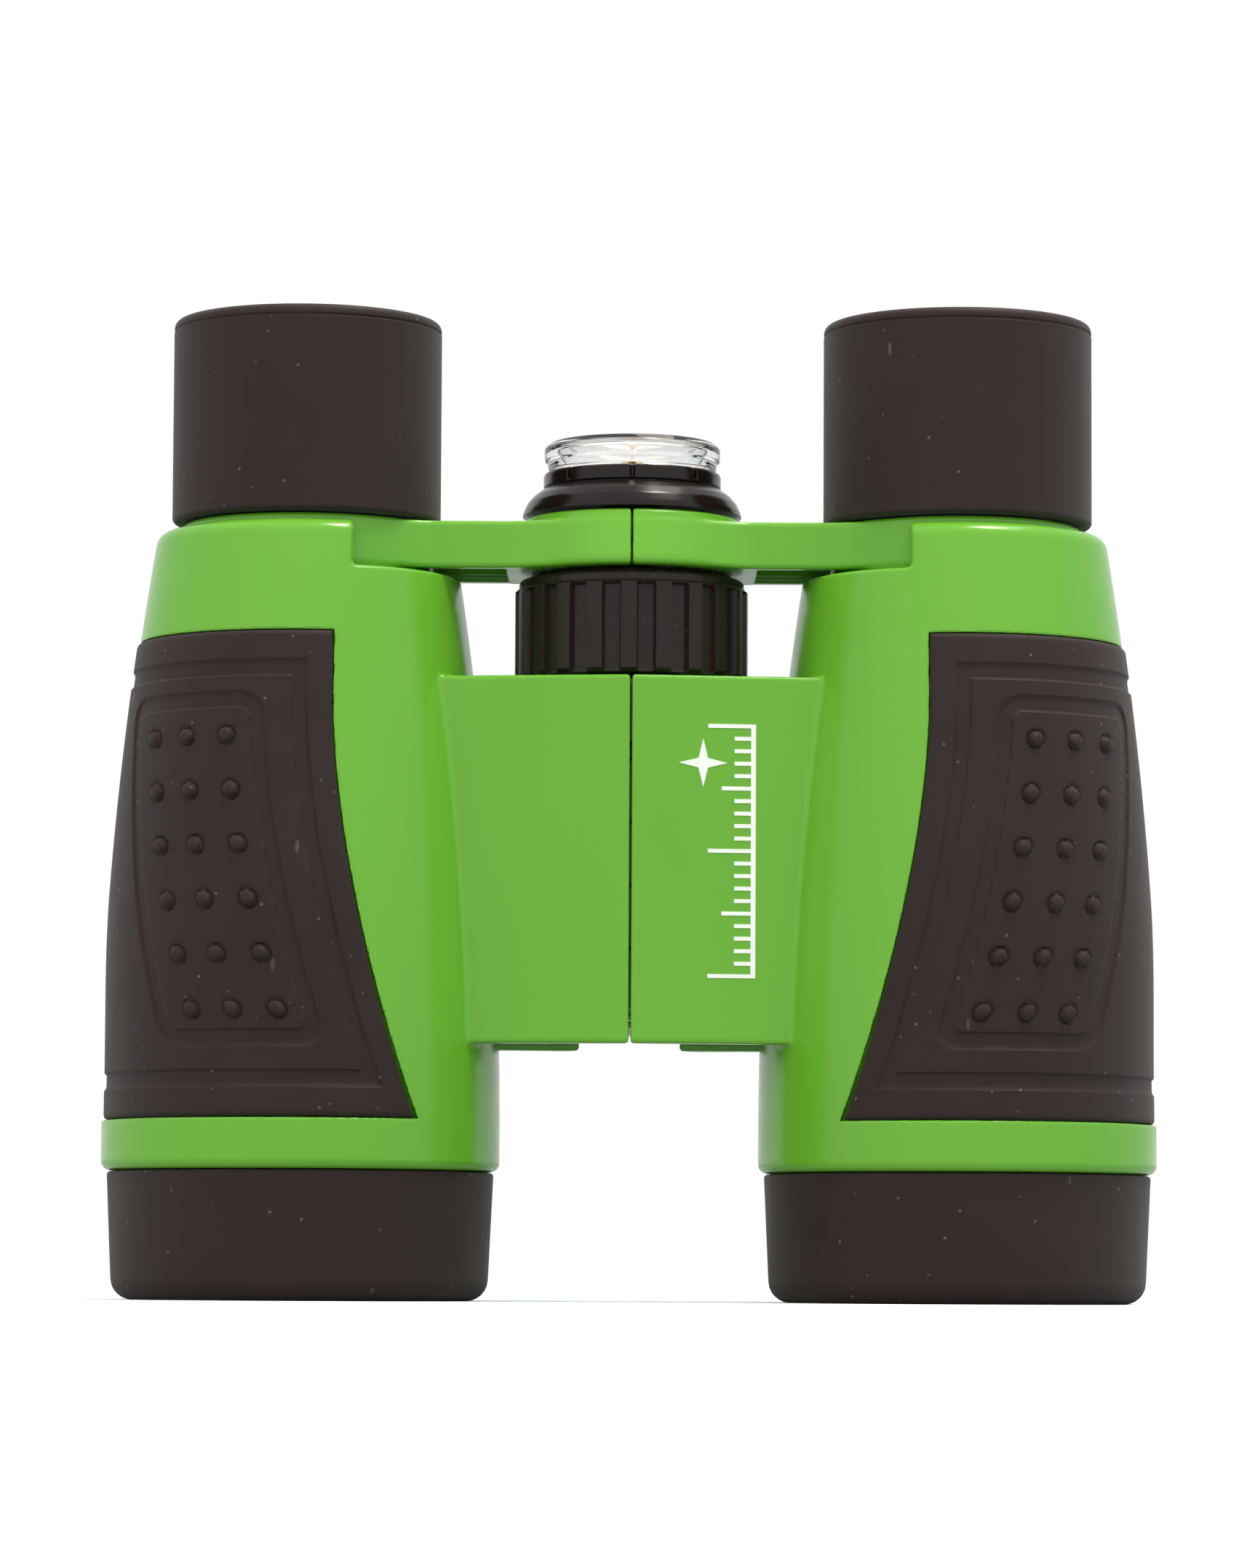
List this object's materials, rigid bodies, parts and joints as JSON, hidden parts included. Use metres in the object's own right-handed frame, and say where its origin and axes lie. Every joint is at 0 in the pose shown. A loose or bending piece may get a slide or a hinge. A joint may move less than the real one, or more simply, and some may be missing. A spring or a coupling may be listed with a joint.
{
  "type": "binoculars",
  "caption": "Child's handheld binoculars: tapered glossy barrels with rubber grips on a folding hinge, ribbed focus wheel, sliding eyepiece bridge and a small compass.",
  "frame": {"origin": "centre of the footprint on the surface that the objective rings stand on; the fold hinge's axis passes through it", "axes": "+X across the barrels to the right-hand barrel as the front is seen, +Y to the back, +Z along the barrels to the eyecups; the front is -Y"},
  "size_m": [0.1098, 0.0416, 0.102],
  "materials": {
    "green_plastic": "glossy injection moulded, bright yellow-green",
    "black_rubber": "matt, fine moulded texture, warm black",
    "black_plastic": "glossy black",
    "inner_plastic": "matt black, kills stray light",
    "clear_plastic": "clear, polished",
    "lens": "polished, faint coating",
    "steel": "zinc plated",
    "brass": "turned",
    "dial_card": "printed white card",
    "needle_paint": "painted"
  },
  "bodies": {
    "left_half": {"barrel_left": "green_plastic", "grip_left": "black_rubber", "objective_ring_left": "black_rubber", "objective_cell_left": "inner_plastic", "objective_lens_left": "lens", "objective_retainer_left": "inner_plastic", "guide_bush_left": "inner_plastic", "hinge_pin": "steel", "hinge_washer": "steel"},
    "right_half": {"barrel_right": "green_plastic", "grip_right": "black_rubber", "objective_ring_right": "black_rubber", "objective_cell_right": "inner_plastic", "objective_lens_right": "lens", "objective_retainer_right": "inner_plastic", "guide_bush_right": "inner_plastic"},
    "focus_wheel": {"focus_wheel": "black_plastic", "wheel_clip": "steel"},
    "left_bridge": {"bridge_arm_left": "green_plastic", "eyepiece_tube_left": "black_plastic", "eye_lens_left": "lens", "eye_lens_retainer_left": "black_plastic", "eyecup_left": "black_rubber", "focus_screw": "steel", "compass_base": "black_plastic", "compass_ring": "black_plastic", "compass_dial": "dial_card", "compass_pivot": "brass", "compass_cap": "clear_plastic"},
    "right_bridge": {"bridge_arm_right": "green_plastic", "eyepiece_tube_right": "black_plastic", "eye_lens_right": "lens", "eye_lens_retainer_right": "black_plastic", "eyecup_right": "black_rubber"},
    "compass_needle": {"compass_needle": "needle_paint"}
  },
  "joints": [
    {"name": "fold", "type": "hinge", "parent": "left_half", "child": "right_half", "pos_m": [0, 0, 0.045], "axis": [0, 0, 1], "range_deg": [0, 54]},
    {"name": "focus_turn", "type": "hinge", "parent": "left_half", "child": "focus_wheel", "pos_m": [0, 0, 0.07], "axis": [0, 0, 1], "range_deg": [0, 360]},
    {"name": "left_focus_slide", "type": "slide", "parent": "left_half", "child": "left_bridge", "axis": [0, 0, 1], "range_m": [0, 0.005]},
    {"name": "right_focus_slide", "type": "slide", "parent": "right_half", "child": "right_bridge", "axis": [0, 0, 1], "range_m": [0, 0.005]},
    {"name": "needle_swing", "type": "hinge", "parent": "left_bridge", "child": "compass_needle", "pos_m": [0, 0, 0.087], "axis": [0, 0, 1], "continuous": true}
  ],
  "couplings": [
    {"joint": "focus_turn", "follows": "left_focus_slide", "rad_per_m": 1256.6},
    {"joint": "right_focus_slide", "follows": "left_focus_slide", "ratio": 1}
  ]
}
